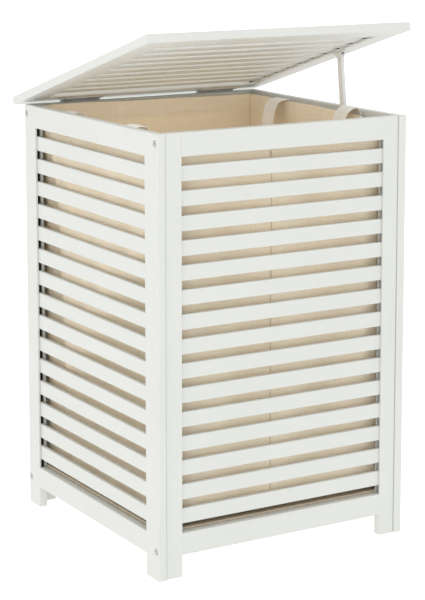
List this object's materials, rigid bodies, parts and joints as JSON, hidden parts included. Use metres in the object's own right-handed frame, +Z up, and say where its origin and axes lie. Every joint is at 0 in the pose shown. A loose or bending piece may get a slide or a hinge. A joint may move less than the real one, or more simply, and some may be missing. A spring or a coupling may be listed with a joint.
{
  "type": "laundry hamper",
  "caption": "Square slatted wooden laundry hamper on short legs, with a hinged slatted lid held ajar by a sliding stay and a removable cloth bag inside.",
  "frame": {"origin": "on the floor, under the middle of the whole object with its lid ajar; the body's own middle lies 10 mm towards the front", "axes": "+Z up, -Y towards the front, the side away from the hinges, +X towards the right as seen from the front, where the lid stay is"},
  "size_m": [0.419, 0.4215, 0.7355],
  "materials": {
    "painted_wood": "satin white paint",
    "fibre_board": "matte white-faced board",
    "cotton_cloth": "matte natural weave",
    "webbing": "matte woven band",
    "bolt_steel": "zinc plated",
    "hinge_steel": "dull grey plated",
    "white_plastic": "moulded satin"
  },
  "bodies": {
    "hamper_body": {"back_bottom_rail": "painted_wood", "back_left_stile": "painted_wood", "back_right_stile": "painted_wood", "back_slats": "painted_wood", "back_top_rail": "painted_wood", "bag_handle_left": "webbing", "bag_handle_right": "webbing", "bag_stud_left_front": "bolt_steel", "bag_stud_left_rear": "bolt_steel", "bag_stud_right_front": "bolt_steel", "bag_stud_right_rear": "bolt_steel", "bolt_left_front_bottom": "bolt_steel", "bolt_left_front_top": "bolt_steel", "bolt_left_rear_bottom": "bolt_steel", "bolt_left_rear_top": "bolt_steel", "bolt_right_front_bottom": "bolt_steel", "bolt_right_front_top": "bolt_steel", "bolt_right_rear_bottom": "bolt_steel", "bolt_right_rear_top": "bolt_steel", "floor_panel": "fibre_board", "front_bottom_rail": "painted_wood", "front_left_stile": "painted_wood", "front_right_stile": "painted_wood", "front_slats": "painted_wood", "front_top_rail": "painted_wood", "hinge_left_body_leaf": "hinge_steel", "hinge_left_pin": "hinge_steel", "hinge_right_body_leaf": "hinge_steel", "hinge_right_pin": "hinge_steel", "laundry_bag": "cotton_cloth", "left_batten": "painted_wood", "left_bottom_rail": "painted_wood", "left_front_stile": "painted_wood", "left_rear_stile": "painted_wood", "left_slats": "painted_wood", "left_top_rail": "painted_wood", "right_batten": "painted_wood", "right_bottom_rail": "painted_wood", "right_front_stile": "painted_wood", "right_rear_stile": "painted_wood", "right_slats": "painted_wood", "right_top_rail": "painted_wood", "stay_guide": "white_plastic"},
    "lid": {"hinge_left_lid_leaf": "hinge_steel", "hinge_right_lid_leaf": "hinge_steel", "lid_front_rail": "painted_wood", "lid_left_rail": "painted_wood", "lid_rear_rail": "painted_wood", "lid_right_rail": "painted_wood", "lid_slat_1": "painted_wood", "lid_slat_2": "painted_wood", "lid_slat_3": "painted_wood", "lid_slat_4": "painted_wood", "lid_slat_5": "painted_wood", "lid_slat_6": "painted_wood", "lid_slat_7": "painted_wood", "lid_slat_8": "painted_wood", "lid_slat_9": "painted_wood", "stay_lid_bracket": "white_plastic"},
    "stay": {"stay_bar": "white_plastic"}
  },
  "joints": [
    {"name": "lid_hinge", "type": "hinge", "parent": "hamper_body", "child": "lid", "pos_m": [0, 0.1926, 0.6044], "axis": [-1, 0, 0], "range_deg": [-16.4, 43.6]},
    {"name": "stay_pivot", "type": "hinge", "parent": "lid", "child": "stay", "pos_m": [0.183, -0.07068, 0.67678], "axis": [-1, 0, 0], "range_deg": [-21.9, 8.3]}
  ],
  "couplings": [
    {"joint": "stay_pivot", "follows": "lid_hinge", "ratio": -0.5}
  ]
}
